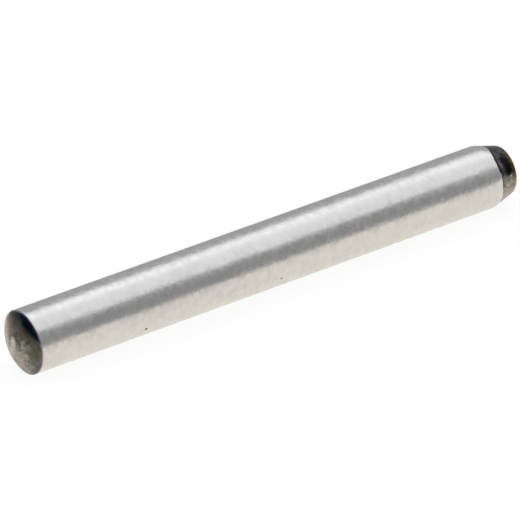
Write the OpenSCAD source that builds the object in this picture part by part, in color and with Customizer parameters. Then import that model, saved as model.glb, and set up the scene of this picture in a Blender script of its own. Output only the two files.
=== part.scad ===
// Dowel pin, hardened and ground from one bar. The shank is a plain cylinder. One end is crowned, and
// the other has a lead-in taper that blends out of the shank and ends in a rounded, slightly crowned tip.
// The axis lies along X with the tip towards +X, and the origin is at mid-length on the axis.

/* [Shank] */
// Diameter of the ground shank
pin_d = 5; // [3:0.1:8]
// Length over both crowned ends
pin_l = 45; // [12:1:100]

/* [Plain end] */
// Radius of the crown on the plain end
crown_r = 4.1; // [2.8:0.1:10]
// Rounding where that crown meets the shank
crown_edge_r = 0.1; // [0.05:0.05:0.5]

/* [Lead-in end] */
// Length of the taper, from the corner on the shank to the plane of the tip's edge
taper_l = 2.04; // [1.2:0.02:4]
// How far the taper comes in on the radius over that length
taper_in = 0.595; // [0.2:0.005:1]
// Blend from the shank into the taper, at most the shank's own radius
taper_blend_r = 2.1; // [0.5:0.1:2.5]
// Rounding of the tip's edge
tip_edge_r = 0.3; // [0.05:0.05:0.6]
// Radius of the shallow crown on the tip
tip_crown_r = 6.3; // [3:0.1:12]

/* [Hidden] */
$fn = 128;

shank_r = pin_d / 2;
half_l = pin_l / 2;

// The profile is drawn as [radius, height], and each rounding touches the two lines or arcs beside it.
// Plain end: the crown's centre is on the axis, and its edge rounding lies inside both crown and shank.
crown_c = [0, crown_r - half_l];
crown_edge_x = shank_r - crown_edge_r;
crown_edge_c = [crown_edge_x, crown_c.y - leg(crown_r - crown_edge_r, crown_edge_x)];
crown_edge_a = direction(crown_c, crown_edge_c);

// Tip: its edge rounding touches the taper, the plane of the tip's edge and the tip's crown.
taper_a = atan2(taper_in, taper_l);
tip_crown_c = [0, half_l - tip_crown_r];
tip_edge_x = shank_r - taper_in - tip_edge_r * tan((90 - taper_a) / 2);
tip_edge_c = [tip_edge_x, tip_crown_c.y + leg(tip_crown_r - tip_edge_r, tip_edge_x)];
tip_edge_a = direction(tip_crown_c, tip_edge_c);

// Taper: it leaves the shank at taper_z, and the blend rounds that corner.
taper_z = tip_edge_c.y + tip_edge_r - taper_l;
blend_r = min(taper_blend_r, shank_r);
blend_c = [shank_r - blend_r, taper_z - blend_r * tan(taper_a / 2)];

// Other short side of a right triangle
function leg(hypotenuse, side) = sqrt(pow(hypotenuse, 2) - pow(side, 2));

// Angle of the line from one point to another
function direction(from, to) = atan2(to.y - from.y, to.x - from.x);

// Point on a circle
function on_arc(center, r, angle) = center + r * [cos(angle), sin(angle)];

// Slice of a disc between two angles
module sector(center, r, from, to) {
    reach = 2 * r;
    translate(center)
        intersection() {
            circle(r = r);
            polygon([[0, 0], on_arc([0, 0], reach, from), on_arc([0, 0], reach, to)]);
        }
}

// Half section of the pin: straight lines between the ends of the arcs, filled out by the arcs
module half_section() {
    polygon([
        [0, -half_l],
        on_arc(crown_c, crown_r, crown_edge_a),
        on_arc(crown_edge_c, crown_edge_r, 0),
        on_arc(blend_c, blend_r, 0),
        on_arc(blend_c, blend_r, taper_a),
        on_arc(tip_edge_c, tip_edge_r, taper_a),
        on_arc(tip_crown_c, tip_crown_r, tip_edge_a),
        [0, half_l],
    ]);
    sector(crown_c, crown_r, -90, crown_edge_a);
    sector(crown_edge_c, crown_edge_r, crown_edge_a, 0);
    sector(blend_c, blend_r, 0, taper_a);
    sector(tip_edge_c, tip_edge_r, taper_a, tip_edge_a);
    sector(tip_crown_c, tip_crown_r, tip_edge_a, 90);
}

module pin() {
    color("gainsboro")
        rotate([0, 90, 0])
            rotate_extrude()
                half_section();
}

pin();
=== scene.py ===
import math

import bpy
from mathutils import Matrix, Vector


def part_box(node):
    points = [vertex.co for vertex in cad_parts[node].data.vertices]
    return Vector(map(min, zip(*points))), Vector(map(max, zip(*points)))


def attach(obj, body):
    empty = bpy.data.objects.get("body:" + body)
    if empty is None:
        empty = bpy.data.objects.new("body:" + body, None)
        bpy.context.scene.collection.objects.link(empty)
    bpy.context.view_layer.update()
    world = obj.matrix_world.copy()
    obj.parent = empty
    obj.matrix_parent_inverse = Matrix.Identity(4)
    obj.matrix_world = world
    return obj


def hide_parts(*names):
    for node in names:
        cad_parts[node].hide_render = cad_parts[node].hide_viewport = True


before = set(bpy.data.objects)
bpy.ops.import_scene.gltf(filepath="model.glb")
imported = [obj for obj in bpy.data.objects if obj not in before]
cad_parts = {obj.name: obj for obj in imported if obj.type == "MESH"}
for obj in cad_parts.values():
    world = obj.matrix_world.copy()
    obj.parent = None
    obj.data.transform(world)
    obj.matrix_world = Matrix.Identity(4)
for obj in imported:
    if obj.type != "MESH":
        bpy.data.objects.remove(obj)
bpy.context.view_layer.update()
pinLow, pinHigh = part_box("pin")
mm = 0.001
print("frame loaded, pin from", list(pinLow), "to", list(pinHigh))

scene = bpy.context.scene
scene.view_settings.view_transform = "Standard"


# camera: the photo's long lens, a little above the pin and off its plain end
view = {
    "azimuth": -35.44,       # degrees, 0 looks along +Y
    "elevation": 30.50,
    "distance": 533.0,       # mm from the pin's middle
    "lens": 494.6,           # mm
    "sensor": 36.0,          # mm
    "clip": (0.01, 20.0),    # m
    "offset": (-0.347, -0.344),   # mm right and up, aims beside the pin's middle
}


def aimCamera(v):
    turn, lift = math.radians(v["azimuth"]), math.radians(v["elevation"])
    right = Vector((math.cos(turn), math.sin(turn), 0))
    back = Vector((math.sin(turn) * math.cos(lift), -math.cos(turn) * math.cos(lift), math.sin(lift)))
    up = back.cross(right)
    data = bpy.data.cameras.new("pinCamera")
    data.sensor_width = v["sensor"]
    data.lens = v["lens"]
    data.clip_start, data.clip_end = v["clip"]
    camera = bpy.data.objects.new("pinCamera", data)
    scene.collection.objects.link(camera)
    aim = right * v["offset"][0] + up * v["offset"][1]
    camera.location = (aim + back * v["distance"]) * mm
    camera.rotation_euler = back.to_track_quat("Z", "Y").to_euler()
    scene.camera = camera


aimCamera(view)
print("camera set")


# node helpers
unlit, white = (0.0, 0.0, 0.0), (1.0, 1.0, 1.0)
noiseSpan = (0.36, 0.64)   # where most of a noise's values lie


def emptyTree(owner):   # cleared nodes of a material or the world
    owner.use_nodes = True
    owner.node_tree.nodes.clear()
    return owner.node_tree


def put(tree, kind, **settings):
    node = tree.nodes.new(kind)
    for name, value in settings.items():
        setattr(node, name, value)
    return node


def feed(tree, socket, value):   # a link or a plain value
    if isinstance(value, bpy.types.NodeSocket):
        tree.links.new(value, socket)
    else:
        socket.default_value = value


def calc(tree, operation, *values):
    node = put(tree, "ShaderNodeMath", operation=operation)
    for socket, value in zip(node.inputs, values):
        feed(tree, socket, value)
    return node.outputs[0]


def calcVector(tree, operation, *values):
    node = put(tree, "ShaderNodeVectorMath", operation=operation)
    for socket, value in zip(node.inputs, values):
        feed(tree, socket, value)
    return node.outputs["Value" if operation in ("DOT_PRODUCT", "DISTANCE") else "Vector"]


def step(tree, value, low, high, toLow=0.0, toHigh=1.0):   # soft step between two values
    node = put(tree, "ShaderNodeMapRange", interpolation_type="SMOOTHSTEP")
    for name, number in (("Value", value), ("From Min", low), ("From Max", high),
                         ("To Min", toLow), ("To Max", toHigh)):
        feed(tree, node.inputs[name], number)
    return node.outputs["Result"]


def fade(tree, value, low, high, share=1.0):   # the same step, going out
    return step(tree, value, low, high, share, 0.0)


def noise(tree, vector, scale, octaves, grit):
    node = put(tree, "ShaderNodeTexNoise")
    for name, value in (("Vector", vector), ("Scale", scale), ("Detail", octaves), ("Roughness", grit)):
        feed(tree, node.inputs[name], value)
    return node.outputs


def cloud(tree, vector, scale, octaves, grit):
    return noise(tree, vector, scale, octaves, grit)["Fac"]


def tint(tree, share, first, second, blend="MIX"):   # colour between two
    node = put(tree, "ShaderNodeMix", data_type="RGBA", blend_type=blend)
    feed(tree, node.inputs["Factor"], share)
    for socket, value in ((node.inputs[6], first), (node.inputs[7], second)):   # the node's two colours
        feed(tree, socket, value if isinstance(value, bpy.types.NodeSocket) else (*value, 1.0))
    return node.outputs[2]


def between(tree, share, first, second):   # number between two
    node = put(tree, "ShaderNodeMix", data_type="FLOAT")
    feed(tree, node.inputs["Factor"], share)
    feed(tree, node.inputs[2], first)
    feed(tree, node.inputs[3], second)
    return node.outputs[0]


def newGroup(name, inputs, outputs):
    tree = bpy.data.node_groups.new(name, "ShaderNodeTree")
    for label, kind in inputs:
        tree.interface.new_socket(label, in_out="INPUT", socket_type=kind)
    for label, kind in outputs:
        tree.interface.new_socket(label, in_out="OUTPUT", socket_type=kind)
    return tree, put(tree, "NodeGroupInput").outputs, put(tree, "NodeGroupOutput").inputs


def place(tree, group, **values):
    node = put(tree, "ShaderNodeGroup", node_tree=group)
    for name, value in values.items():
        feed(tree, node.inputs[name], value)
    return node.outputs


# studio: a soft sheet of light along the pin, dim walls, a pale floor
studio = {
    "brightest": 1.37,
    # degrees over the pin, from the floor line behind it to the one before it, and share of the brightest
    "sky": [(0, 0.325), (40, 0.335), (53, 0.90), (68, 1.0), (79, 0.84), (90, 0.737), (124, 0.742),
            (133, 0.27), (148, 0.25), (165, 0.256), (180, 0.27)],
    "skyTint": (0.985, 1.0, 1.02),
    "endLevel": 0.45,            # past the plain end, where the sheet stops
    "endFade": (-0.90, -0.70),   # how far a ray leans along the pin where it fades
    "floorSeen": (1.0, 0.96, 0.885),   # floor as the steel mirrors it
    "backSeen": (0.40, 0.395, 0.39),   # its shaded part behind the pin
    "backFade": (0.009, 0.022),        # m behind the pin
    "frontSeen": (0.38, 0.375, 0.37),  # and far before it
    "frontFade": (-0.11, -0.035),      # m, the pin's middle is 0
    "floorColor": (0.90, 0.895, 0.88),
    "floorGlow": 0.905,          # plain white that the camera sees
    "floorShade": 0.15,          # share of its real light on top, which keeps the shadow
    "floorHalf": 0.8,            # m
}


def lightStudio(s):
    world = bpy.data.worlds.new("studio")
    scene.world = world
    tree = emptyTree(world)
    parts = put(tree, "ShaderNodeSeparateXYZ")
    feed(tree, parts.inputs[0], put(tree, "ShaderNodeTexCoord").outputs["Generated"])
    along, across, up = parts.outputs
    angle = calc(tree, "DIVIDE", calc(tree, "ARCTAN2", up, across), math.pi)
    ramp = put(tree, "ShaderNodeValToRGB")
    feed(tree, ramp.inputs[0], angle)
    stops = ramp.color_ramp.elements
    while len(stops) < len(s["sky"]):
        stops.new(0.5)
    for stop, (degrees, share) in zip(stops, s["sky"]):
        stop.position = degrees / 180
        stop.color = [share * channel for channel in s["skyTint"]] + [1.0]
    sheet = step(tree, along, *s["endFade"])
    sky = put(tree, "ShaderNodeBackground")
    feed(tree, sky.inputs["Color"], ramp.outputs[0])
    feed(tree, sky.inputs["Strength"], between(tree, sheet, s["endLevel"], s["brightest"]))
    backdrop = put(tree, "ShaderNodeBackground")
    feed(tree, backdrop.inputs["Color"], (*white, 1.0))
    feed(tree, backdrop.inputs["Strength"], 1.0)
    seen = put(tree, "ShaderNodeLightPath").outputs["Is Camera Ray"]
    below = calc(tree, "LESS_THAN", up, 0.0)
    mix = put(tree, "ShaderNodeMixShader")
    feed(tree, mix.inputs[0], calc(tree, "MAXIMUM", seen, below))
    feed(tree, mix.inputs[1], sky.outputs[0])
    feed(tree, mix.inputs[2], backdrop.outputs[0])
    feed(tree, put(tree, "ShaderNodeOutputWorld").inputs["Surface"], mix.outputs[0])


def paleFloor(s):
    material = bpy.data.materials.new("paleFloor")
    tree = emptyTree(material)
    rays = put(tree, "ShaderNodeLightPath").outputs
    seen = rays["Is Camera Ray"]
    mirrored = calc(tree, "MAXIMUM", rays["Is Glossy Ray"], rays["Is Transmission Ray"])
    parts = put(tree, "ShaderNodeSeparateXYZ")
    feed(tree, parts.inputs[0], put(tree, "ShaderNodeTexCoord").outputs["Object"])
    behind = parts.outputs[1]
    mirrorColor = tint(tree, step(tree, behind, *s["backFade"]), s["floorSeen"], s["backSeen"])
    mirrorColor = tint(tree, step(tree, behind, *s["frontFade"]), s["frontSeen"], mirrorColor)
    real = calc(tree, "SUBTRACT", 1.0, mirrored)
    real = calc(tree, "SUBTRACT", real, calc(tree, "MULTIPLY", seen, 1.0 - s["floorShade"]))
    paper = put(tree, "ShaderNodeBsdfDiffuse")
    feed(tree, paper.inputs["Color"], tint(tree, real, unlit, s["floorColor"]))
    glow = put(tree, "ShaderNodeEmission")
    seenGlow = calc(tree, "MULTIPLY", seen, s["floorGlow"])
    feed(tree, glow.inputs["Color"], tint(tree, mirrored, white, mirrorColor))
    feed(tree, glow.inputs["Strength"], calc(tree, "ADD", mirrored, seenGlow))
    both = put(tree, "ShaderNodeAddShader")
    feed(tree, both.inputs[0], paper.outputs[0])
    feed(tree, both.inputs[1], glow.outputs[0])
    feed(tree, put(tree, "ShaderNodeOutputMaterial").inputs["Surface"], both.outputs[0])
    return material


def layFloor(s):
    half, level = s["floorHalf"], pinLow[2]
    corners = [(-half, -half, level), (half, -half, level), (half, half, level), (-half, half, level)]
    mesh = bpy.data.meshes.new("floor")
    mesh.from_pydata(corners, [], [(0, 1, 2, 3)])
    mesh.materials.append(paleFloor(s))
    floor = bpy.data.objects.new("floor", mesh)
    scene.collection.objects.link(floor)


lightStudio(studio)
layFloor(studio)
print("studio lit")


# pin: one turned form, the same roundings as the solid, with the shank's few pits pressed in
pin = {
    "crown": 4.1,            # mm, plain end's crown
    "crownEdge": 0.1,
    "taperLength": 2.04,
    "taperIn": 0.595,
    "taperBlend": 2.1,
    "tipEdge": 0.3,
    "tipCrown": 6.3,
    "around": 256,           # faces round the pin
    "ringGap": 0.34,         # mm between rings on the shank
    "arcRings": {"crown": 36, "crownEdge": 8, "taperBlend": 10, "taper": 16, "tipEdge": 12, "tipCrown": 22},
    # pits: mm along the pin, degrees round it, radius and depth in mm
    "pits": [(-12.33, -157.4, 0.18, 0.034), (-0.14, -161.0, 0.12, 0.03), (-13.18, 159.9, 0.06, 0.012),
             (3.94, 125.7, 0.06, 0.012), (7.32, 159.6, 0.05, 0.01), (8.06, 141.3, 0.05, 0.01),
             (14.6, 20.0, 0.08, 0.02), (-6.4, -40.0, 0.07, 0.02)],
    "pitRings": 9,           # close rings through each pit
    "pitSpan": 1.3,          # radii that they reach either way
    "pitClear": 1.6,         # radii kept free of the shank's own rings
    "mapMargin": 0.005,      # bare edge of the bake map's strips
}


def arc(center, radius, fromTurn, toTurn, count):   # points (along, out), turns from +X towards out
    turns = [fromTurn + (toTurn - fromTurn) * i / count for i in range(count + 1)]
    return [(center[0] + radius * math.cos(t), center[1] + radius * math.sin(t)) for t in turns]


def pinProfile(p):   # points (along, out) in mm from the plain end's apex to the tip's
    half = pinHigh[0] / mm
    radius = pinHigh[2] / mm
    quarter = math.pi / 2
    rings = p["arcRings"]
    crownCenter = (p["crown"] - half, 0.0)
    edgeOut = radius - p["crownEdge"]
    edgeBack = math.sqrt((p["crown"] - p["crownEdge"]) ** 2 - edgeOut ** 2)
    edgeCenter = (crownCenter[0] - edgeBack, edgeOut)
    edgeTurn = math.atan2(edgeOut, -edgeBack)
    slope = math.atan2(p["taperIn"], p["taperLength"])
    tipOut = radius - p["taperIn"] - p["tipEdge"] * math.tan((quarter - slope) / 2)
    tipAhead = math.sqrt((p["tipCrown"] - p["tipEdge"]) ** 2 - tipOut ** 2)
    tipCenter = (half - p["tipCrown"] + tipAhead, tipOut)
    tipTurn = math.atan2(tipOut, tipAhead)
    corner = tipCenter[0] + p["tipEdge"] - p["taperLength"]
    blendCenter = (corner - p["taperBlend"] * math.tan(slope / 2), radius - p["taperBlend"])
    points = arc(crownCenter, p["crown"], math.pi, edgeTurn, rings["crown"])
    points += arc(edgeCenter, p["crownEdge"], edgeTurn, quarter, rings["crownEdge"])[1:]
    start, end = edgeCenter[0], blendCenter[0]
    count = round((end - start) / p["ringGap"])
    spots = [start + (end - start) * i / count for i in range(1, count)]
    for along, _, size, _ in p["pits"]:
        reach = p["pitSpan"] * size
        near = [along + reach * (2 * i / (p["pitRings"] - 1) - 1) for i in range(p["pitRings"])]
        spots = [x for x in spots if abs(x - along) > p["pitClear"] * size] + near
    points += [(x, radius) for x in sorted(spots)]
    points += arc(blendCenter, p["taperBlend"], quarter, quarter - slope, rings["taperBlend"])
    taperFrom = points[-1]
    tipEdge = arc(tipCenter, p["tipEdge"], quarter - slope, tipTurn, rings["tipEdge"])
    for i in range(1, rings["taper"]):
        share = i / rings["taper"]
        points.append(tuple(a + (b - a) * share for a, b in zip(taperFrom, tipEdge[0])))
    points += tipEdge
    points += arc((half - p["tipCrown"], 0.0), p["tipCrown"], tipTurn, 0.0, rings["tipCrown"])[1:]
    return points


def pitDepth(p, along, turn, out):   # mm pressed in at this place
    total = 0.0
    for pitAlong, pitTurn, size, depth in p["pits"]:
        if abs(along - pitAlong) > size:
            continue
        swing = math.radians((turn - pitTurn + 180) % 360 - 180) * out
        reach = math.hypot(along - pitAlong, swing) / size
        if reach < 1:
            total += depth * (1 - reach * reach) ** 2
    return total


def turnPin(p):
    profile = pinProfile(p)
    around = p["around"]
    inner = profile[1:-1]
    points = []
    for along, out in inner:
        for i in range(around):
            turn = 360 * i / around
            spoke = out - pitDepth(p, along, turn, out)
            angle = math.radians(turn)
            points.append((along * mm, spoke * math.cos(angle) * mm, spoke * math.sin(angle) * mm))
    apex, tip = len(points), len(points) + 1
    points += [(profile[0][0] * mm, 0, 0), (profile[-1][0] * mm, 0, 0)]
    faces, places = [], []   # places: each corner's point on the profile and step round the pin
    for i in range(around):
        j = (i + 1) % around
        faces.append((apex, j, i))
        places.append(((0, i + 0.5), (1, i + 1), (1, i)))
        for k in range(len(inner) - 1):
            low, high = k * around, (k + 1) * around
            faces.append((low + i, low + j, high + j, high + i))
            places.append(((k + 1, i), (k + 1, i + 1), (k + 2, i + 1), (k + 2, i)))
        last = (len(inner) - 1) * around
        faces.append((last + i, last + j, tip))
        places.append(((len(inner), i), (len(inner), i + 1), (len(inner) + 1, i + 0.5)))
    mesh = bpy.data.meshes.new("pinBody")
    mesh.from_pydata(points, [], faces)
    mesh.polygons.foreach_set("use_smooth", [True] * len(faces))
    layBakeMap(mesh, places, profile, p)
    mesh.update()
    body = bpy.data.objects.new("pinBody", mesh)
    scene.collection.objects.link(body)
    return body


def layBakeMap(mesh, places, profile, p):   # two strips, plain half above, tip half below
    travel = [0.0]   # mm along the profile
    for (a, b), (c, d) in zip(profile, profile[1:]):
        travel.append(travel[-1] + math.hypot(c - a, d - b))
    middle = min(range(len(travel)), key=lambda k: abs(travel[k] - travel[-1] / 2))
    margin = p["mapMargin"]
    length, height = 1 - 2 * margin, 0.5 - 2 * margin
    strips = ((0.0, travel[middle], 0.5 + margin), (travel[middle], travel[-1], margin))
    chart = mesh.uv_layers.new(name="OFBake")
    spot = 0
    for corners in places:
        start, end, base = strips[1 if min(corner[0] for corner in corners) >= middle else 0]
        for k, i in corners:
            across = margin + length * (travel[k] - start) / (end - start)
            chart.data[spot].uv = (across, base + height * i / p["around"])
            spot += 1


body = turnPin(pin)
print("pin turned,", len(body.data.polygons), "faces")


# finishes: bright ground steel with grinding marks round it, black scale left on both ends
groundSteel = {
    "color": (0.707, 0.697, 0.682),
    "dull": (0.657, 0.649, 0.634),
    "slowShare": 0.4,            # of the slower waves in the dull marks
    "roughness": (0.205, 0.360),
    "rubs": (2.4, 2.2),          # smoother and rougher places to the mm along the pin and round it
    "rubGrit": (4.0, 0.62),      # octaves of their detail, and its strength
    "lines": (2.0, 1.3),         # marks to the mm along and round
    "lineDepth": 0.012,          # mm
    "waves": (0.8, 0.6),         # slower waves along and round
    "waveDepth": 0.036,          # mm
    "markGrit": (2.0, 0.45),     # octaves and strength, for the lines and the waves
    "pitColor": (0.15, 0.115, 0.075),
    "pitFull": 0.03,             # mm deep where a pit has its full colour
}
spotRims = {   # of pits and worn patches
    "noise": (2.6, 4.0, 0.6),    # to the mm, octaves and strength of the ragged line
    "reach": 0.6,                # radii that it wanders either way
    "core": 0.35,                # share of the radius at full strength
}
blackScale = {
    "deep": (0.060, 0.063, 0.057),
    "brown": (0.118, 0.114, 0.097),
    "brownNoise": (2.3, 4.0, 0.6),   # each noise: to the mm, octaves and strength of its detail
    "brownStep": (0.40, 0.62),
    "olive": (0.096, 0.099, 0.074),
    "oliveNoise": (1.3, 3.0, 0.5),
    "oliveStep": (0.50, 0.68),
    "roughness": (0.22, 0.34),
    "fray": 0.04,                    # mm the borders wander
    "frayNoise": (1.6, 3.0, 0.5),
    "crownBorder": (21.55, 21.75),   # mm from the middle, where the black starts
    "crownLean": (0.014, 0.003),     # mm to the mm across and up that the border leans
    "taperBorder": (20.58, 20.64),
    "taperLean": (0.05, -0.037),
    # where the taper's border leaves that plane: heading across and up, mm out that way, mm it creeps
    "taperCreep": [((-0.70, 0.72), (2.345, 2.385), 0.05), ((0.586, 0.81), (0.80, 2.30), -0.24)],
    "seam": (0.018, 0.020, 0.029),   # thick black in the corner by the steel, on one side
    "seamHeading": (-0.62, 0.785),
    "seamReach": (2.02, 2.31),
    "crownSeam": (21.70, 21.84, 0.35),   # mm from the middle where it fades out, and its strength
    "taperSeam": (20.73, 20.90, 1.0),
    "greyRim": (0.124, 0.118, 0.119),    # thin worn line along one side of the crown's border
    "greyFade": (21.78, 21.93),          # mm from the middle
    "greyHeading": (-0.80, -0.60),
    "greyReach": (1.50, 2.15),
    # crescents of painted dark reflection on the crown's upper side: colour, heading across and up, mm out
    # that way where they start and are full
    "shadeCrescents": [((0.034, 0.056, 0.042), (-0.427, 0.904), (1.74, 1.91)),
                  ((0.008, 0.012, 0.014), (-0.427, 0.904), (1.87, 2.04))],
    "crescentFray": 0.35,
    "blueShadeRim": (0.010, 0.012, 0.056),    # painted dark reflection, tinted blue, along the border inside the crescents
    "blueShadeFade": (21.75, 21.87),          # mm from the middle
    # straw along the tip's edge: colour, mm from the middle where it starts and is full
    "straw": [((0.072, 0.045, 0.009), (21.71, 21.89)), ((0.165, 0.107, 0.028), (21.91, 22.13))],
    "strawEnd": (22.16, 22.44),          # where both tones end
    "strawHeading": (-0.68, 0.73),
    "strawReach": (1.42, 1.80),
    "flecks": (0.84, 1.15),              # darkest and lightest, over the ground and the patches
    "fleckNoise": (4.5, 3.0, 0.65),
    "grainNoise": (9.0, 3.0, 0.6),       # fine grain in the patches and the relief
    "grainStep": (0.30, 0.55),
    "grainLow": 0.82,                    # share of a patch that shows in the grain's low places
    "reliefDepth": 0.005,                # mm
    # patches: colour, then spots of mm along, across and up, radius and strength
    "patches": {
        "rubbedGrey": ((0.345, 0.333, 0.290), [
            (-22.38, -0.60, -0.75, 1.05, 0.85), (-22.25, -0.60, -1.35, 0.80, 0.75),
            (-22.36, 0.60, -0.85, 0.80, 0.85), (-22.28, -1.25, -0.35, 0.45, 0.80),
            (-22.12, -1.30, -1.15, 0.75, 0.50), (-21.95, -1.05, -1.75, 0.60, 0.60),
            (-22.35, -1.00, 0.25, 0.42, 0.60), (-22.35, -0.95, 0.60, 0.36, 0.45),
            (-22.46, -0.35, 0.05, 0.50, 0.40), (-22.20, -0.05, 1.55, 0.55, 0.25),
            (-22.12, -0.70, 1.50, 0.50, 0.30), (-21.98, -1.85, -0.75, 0.70, 0.22),
            (-21.95, -1.55, -1.30, 0.50, 0.30), (-22.00, 1.30, -1.50, 0.80, 0.45),
            (-22.28, 0.25, 1.30, 0.45, 0.30), (-22.20, -1.43, 0.45, 0.40, 0.25),
        ]),
        "rubbedBrown": ((0.350, 0.322, 0.280), [
            (20.85, -2.15, -0.75, 0.80, 0.90), (21.33, -2.08, -0.60, 0.70, 0.90),
            (21.00, -2.29, -0.05, 0.65, 0.70), (20.70, -2.36, -0.10, 0.35, 0.95),
            (20.75, -2.30, -0.48, 0.40, 1.0), (20.95, -2.10, -0.95, 0.50, 1.1),
            (21.45, -2.14, 0.10, 0.50, 0.65), (20.85, -2.24, 0.55, 0.45, 0.40),
            (21.40, -2.10, 0.50, 0.40, 0.45), (21.95, -1.98, 0.05, 0.40, 0.75),
            (21.90, -1.90, -0.55, 0.50, 0.80), (20.62, -2.30, -0.50, 0.40, 0.60),
            (21.00, 0.90, -2.00, 0.60, 0.40), (22.40, 0.30, -0.30, 0.80, 0.45),
        ]),
        "bareMetal": ((0.46, 0.457, 0.415), [
            (-22.49, 0.15, 0.25, 0.52, 1.0), (-22.49, 0.10, -0.10, 0.52, 0.90),
            (-22.46, 0.30, -0.55, 0.50, 0.75), (-22.38, 0.95, 0.00, 0.50, 0.75),
            (21.57, -2.01, 0.64, 0.10, 1.2), (21.12, -2.24, 0.02, 0.14, 1.2),
            (21.30, -2.20, 0.15, 0.07, 1.0), (21.00, -2.26, -0.25, 0.09, 1.0),
            (21.05, -2.23, 0.37, 0.06, 0.9), (21.48, -2.11, 0.28, 0.06, 0.9),
            (21.24, -2.17, -0.36, 0.07, 0.9), (21.55, -2.06, -0.34, 0.07, 0.9),
            (21.72, -2.02, 0.36, 0.05, 0.8), (20.92, -2.20, 0.62, 0.05, 0.8),
            (21.30, 1.40, 1.60, 0.20, 0.35),
        ]),
        # brown scale; on the crown's far rim these spots also lighten it as a painted reflection
        "brownedAndSheen": ((0.275, 0.215, 0.160), [
            (-21.85, 1.75, 1.30, 0.75, 0.95), (-22.11, 1.51, 0.87, 0.80, 0.95),
            (-22.30, 1.11, 0.62, 0.60, 0.80), (-22.10, 1.05, 1.35, 0.70, 0.75),
            (-22.28, 0.75, 0.95, 0.60, 0.45), (-22.36, 0.95, 0.25, 0.50, 0.60),
            (21.20, 2.10, -0.40, 0.60, 0.60),
        ]),
        # far rim of the crown made lighter, partly wear and partly a painted reflection
        "rimWearAndSheen": ((0.40, 0.352, 0.285), [
            (-22.02, 1.72, 0.85, 0.40, 0.50), (-22.19, 1.44, 0.62, 0.40, 0.70),
            (-22.27, 1.32, 0.28, 0.42, 0.90), (-22.34, 1.14, -0.10, 0.45, 0.90),
            (-22.32, 1.08, -0.55, 0.45, 0.80),
        ]),
        "slate": ((0.040, 0.045, 0.052), [
            (21.07, -0.36, 2.22, 0.60, 0.90), (21.20, -0.90, 2.00, 0.50, 0.90),
            (20.80, -1.20, 1.98, 0.40, 0.80), (-21.78, 0.80, 2.18, 0.40, 0.70),
            (-21.84, 0.50, 2.16, 0.42, 0.90), (-21.86, 0.15, 2.18, 0.40, 0.90),
        ]),
        "oliveStain": ((0.080, 0.086, 0.052), [
            (-21.99, -1.66, 1.06, 0.40, 0.80), (-21.91, -1.92, 0.91, 0.36, 0.75),
            (-21.94, -1.97, 0.64, 0.36, 0.70), (-22.09, -1.72, 0.49, 0.32, 0.45),
            (-21.97, -2.00, 0.32, 0.32, 0.55), (-22.02, -1.30, 1.25, 0.40, 0.60),
            (-22.10, -0.85, 1.42, 0.35, 0.50),
        ]),
        "thickBlack": ((0.004, 0.004, 0.006), [
            (21.15, -1.27, 1.83, 0.34, 1.2), (21.30, -1.30, 1.75, 0.52, 1.3),
            (21.40, -1.55, 1.50, 0.55, 1.3), (21.40, -1.80, 1.20, 0.52, 1.3),
            (21.36, -1.94, 0.96, 0.36, 1.2), (21.45, -0.85, 1.98, 0.34, 1.0),
            (21.70, -0.95, 1.82, 0.26, 1.0), (21.65, -1.25, 1.64, 0.36, 1.3),
            (21.65, -1.55, 1.35, 0.36, 1.3), (21.62, -1.82, 0.95, 0.30, 1.2),
            (21.30, 1.80, -1.10, 0.60, 1.0),
        ]),
        "strawBehind": ((0.12, 0.078, 0.026), [
            (22.06, 1.44, 1.26, 0.30, 0.40), (22.06, 1.72, 0.88, 0.32, 0.55),
            (22.06, 1.88, 0.42, 0.32, 0.45), (22.06, 0.85, -1.72, 0.32, 0.50),
            (22.06, 0.42, -1.87, 0.32, 0.60), (22.06, -0.05, -1.92, 0.30, 0.40),
        ]),
        "paleStraw": ((0.26, 0.205, 0.130), [
            (22.03, -1.90, 0.50, 0.34, 0.90), (22.03, -1.95, 0.15, 0.34, 0.90),
            (22.03, -1.95, -0.20, 0.32, 0.80),
        ]),
    },
}


def grindingMarks():   # fine marks round the pin
    tree, given, result = newGroup(
        "grindingMarks",
        [("Position", "NodeSocketVector"), ("Along", "NodeSocketFloat"), ("Round", "NodeSocketFloat"),
         ("Octaves", "NodeSocketFloat"), ("Grit", "NodeSocketFloat")],
        [("Marks", "NodeSocketFloat")],
    )
    factors = put(tree, "ShaderNodeCombineXYZ")
    feed(tree, factors.inputs[0], given["Along"])
    feed(tree, factors.inputs[1], given["Round"])
    feed(tree, factors.inputs[2], given["Round"])
    stretched = calcVector(tree, "MULTIPLY", given["Position"], factors.outputs[0])
    feed(tree, result["Marks"], cloud(tree, stretched, 1.0, given["Octaves"], given["Grit"]))
    return tree


def raggedShift(tree, spot, rims):   # a wandering offset that breaks up round rims
    ragged = noise(tree, spot, *rims["noise"])["Color"]
    return calcVector(tree, "MULTIPLY_ADD", ragged, [2 * rims["reach"]] * 3, [-rims["reach"]] * 3)


def patchMask(tree, spot, shift, core, spots):   # full inside the spots, fading out at their ragged rims
    mask = None
    for along, across, up, size, share in spots:
        moved = calcVector(tree, "MULTIPLY_ADD", shift, [size] * 3, spot)
        gap = calcVector(tree, "DISTANCE", moved, (along, across, up))
        here = fade(tree, gap, size * core, size, share)
        mask = here if mask is None else calc(tree, "MAXIMUM", mask, here)
    return mask


def lean(tree, spot, way, slopes=(0.0, 0.0)):   # mm from the middle to one end, on a leaning plane
    return calcVector(tree, "DOT_PRODUCT", spot, (way, -slopes[0], -slopes[1]))


def sideMask(tree, spot, heading, reach, full=1.0):   # comes in with the mm out from the axis
    return step(tree, calcVector(tree, "DOT_PRODUCT", spot, (0.0, *heading)), *reach, 0.0, full)


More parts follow.
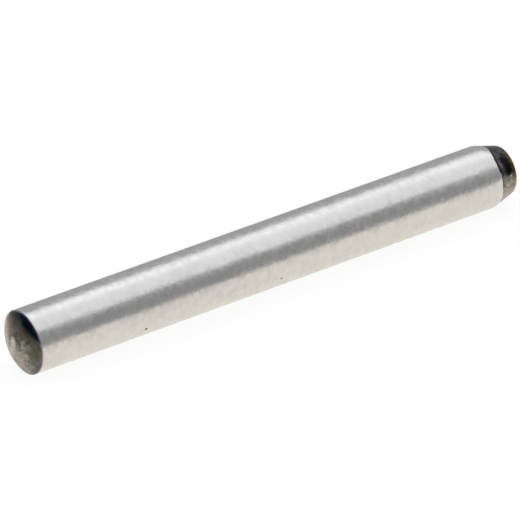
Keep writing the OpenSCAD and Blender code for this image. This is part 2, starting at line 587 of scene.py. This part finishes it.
def pitSpots(p, full):   # the pressed pits as places on the shank
    out = pinHigh[2] / mm
    spots = []
    for along, turn, size, depth in p["pits"]:
        angle = math.radians(turn)
        spots.append((along, out * math.cos(angle), out * math.sin(angle), size, depth / full))
    return spots


def steelLook(tree, spot, steel, pitMask):   # colour, roughness and height
    group = grindingMarks()

    def marks(pace, grit):
        return place(tree, group, Position=spot, Along=pace[0], Round=pace[1], Octaves=grit[0],
                     Grit=grit[1])["Marks"]

    fine = marks(steel["lines"], steel["markGrit"])
    slow = marks(steel["waves"], steel["markGrit"])
    rubs = marks(steel["rubs"], steel["rubGrit"])
    dullness = step(tree, between(tree, steel["slowShare"], fine, slow), *noiseSpan)
    color = tint(tree, dullness, steel["color"], steel["dull"])
    color = tint(tree, pitMask, color, steel["pitColor"])
    rough = between(tree, step(tree, rubs, *noiseSpan), *steel["roughness"])
    lineHeight = calc(tree, "MULTIPLY", fine, steel["lineDepth"])
    height = calc(tree, "ADD", lineHeight, calc(tree, "MULTIPLY", slow, steel["waveDepth"]))
    return color, rough, height


def scaleLook(tree, spot, shift, core, black):   # mask, colour, roughness and height
    fray = calc(tree, "SUBTRACT", cloud(tree, spot, *black["frayNoise"]), 0.5)
    fray = calc(tree, "MULTIPLY", fray, black["fray"] * 2)
    away = calc(tree, "ADD", lean(tree, spot, -1.0, black["crownLean"]), fray)
    ahead = calc(tree, "ADD", lean(tree, spot, 1.0, black["taperLean"]), fray)
    for heading, reach, creep in black["taperCreep"]:
        ahead = calc(tree, "ADD", ahead, sideMask(tree, spot, heading, reach, creep))
    crownSide = step(tree, away, *black["crownBorder"])
    tipSide = step(tree, ahead, *black["taperBorder"])

    # mottled ground and worn patches
    mottle = cloud(tree, spot, *black["brownNoise"])
    color = tint(tree, step(tree, mottle, *black["brownStep"]), black["deep"], black["brown"])
    oliveCloud = cloud(tree, spot, *black["oliveNoise"])
    color = tint(tree, step(tree, oliveCloud, *black["oliveStep"]), color, black["olive"])
    grain = cloud(tree, spot, *black["grainNoise"])
    showing = step(tree, grain, *black["grainStep"], black["grainLow"], 1.0)
    for patchColor, spots in black["patches"].values():
        patch = patchMask(tree, spot, shift, core, spots)
        color = tint(tree, calc(tree, "MULTIPLY", patch, showing), color, patchColor)
    greySide = sideMask(tree, spot, black["greyHeading"], black["greyReach"])
    greyRim = calc(tree, "MULTIPLY", greySide, fade(tree, away, *black["greyFade"]))
    color = tint(tree, calc(tree, "MULTIPLY", greyRim, crownSide), color, black["greyRim"])
    flecks = step(tree, cloud(tree, spot, *black["fleckNoise"]), *noiseSpan, *black["flecks"])
    color = tint(tree, 1.0, color, flecks, "MULTIPLY")

    # crescents of painted dark reflection, straw and seams
    frayed = calcVector(tree, "MULTIPLY_ADD", shift, [black["crescentFray"]] * 3, spot)
    # crown darkened on its upper side, a painted dark reflection
    for shadeCrescentColor, heading, reach in black["shadeCrescents"]:
        shadeCrescent = calc(tree, "MULTIPLY", crownSide, sideMask(tree, frayed, heading, reach))
        color = tint(tree, shadeCrescent, color, shadeCrescentColor)
    strawSide = sideMask(tree, spot, black["strawHeading"], black["strawReach"])
    strawSide = calc(tree, "MULTIPLY", strawSide, fade(tree, lean(tree, spot, 1.0), *black["strawEnd"]))
    for strawColor, reach in black["straw"]:
        straw = calc(tree, "MULTIPLY", strawSide, step(tree, lean(tree, frayed, 1.0), *reach))
        color = tint(tree, straw, color, strawColor)
    # dark blue along the crown's border on its upper side, a painted dark reflection
    blueShadeRim = calc(tree, "MULTIPLY", shadeCrescent, fade(tree, away, *black["blueShadeFade"]))
    color = tint(tree, blueShadeRim, color, black["blueShadeRim"])
    crownSeam = calc(tree, "MULTIPLY", crownSide, fade(tree, away, *black["crownSeam"]))
    taperSeam = calc(tree, "MULTIPLY", tipSide, fade(tree, ahead, *black["taperSeam"]))
    seamSide = sideMask(tree, spot, black["seamHeading"], black["seamReach"])
    seam = calc(tree, "MULTIPLY", calc(tree, "MAXIMUM", crownSeam, taperSeam), seamSide)
    color = tint(tree, seam, color, black["seam"])

    mask = calc(tree, "MAXIMUM", crownSide, tipSide)
    height = calc(tree, "MULTIPLY", grain, black["reliefDepth"])
    return mask, color, between(tree, mottle, *black["roughness"]), height


def finishPin(steel, black, rims, p):
    material = bpy.data.materials.new("groundSteel")
    tree = emptyTree(material)
    spot = calcVector(tree, "MULTIPLY", put(tree, "ShaderNodeTexCoord").outputs["Object"], [1 / mm] * 3)
    shift = raggedShift(tree, spot, rims)
    pitMask = patchMask(tree, spot, shift, rims["core"], pitSpots(p, steel["pitFull"]))
    steelColor, steelRough, steelHeight = steelLook(tree, spot, steel, pitMask)
    mask, scaleColor, scaleRough, scaleHeight = scaleLook(tree, spot, shift, rims["core"], black)
    shader = put(tree, "ShaderNodeBsdfPrincipled")
    feed(tree, shader.inputs["Metallic"], 1.0)
    feed(tree, shader.inputs["Base Color"], tint(tree, mask, steelColor, scaleColor))
    feed(tree, shader.inputs["Roughness"], between(tree, mask, steelRough, scaleRough))
    bump = put(tree, "ShaderNodeBump")
    feed(tree, bump.inputs["Strength"], 1.0)
    feed(tree, bump.inputs["Distance"], mm)
    feed(tree, bump.inputs["Height"], between(tree, mask, steelHeight, scaleHeight))
    feed(tree, shader.inputs["Normal"], bump.outputs[0])
    feed(tree, put(tree, "ShaderNodeOutputMaterial").inputs["Surface"], shader.outputs[0])
    return material


body.data.materials.append(finishPin(groundSteel, blackScale, spotRims, pin))
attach(body, "root")
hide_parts("pin")
print("pin finished")
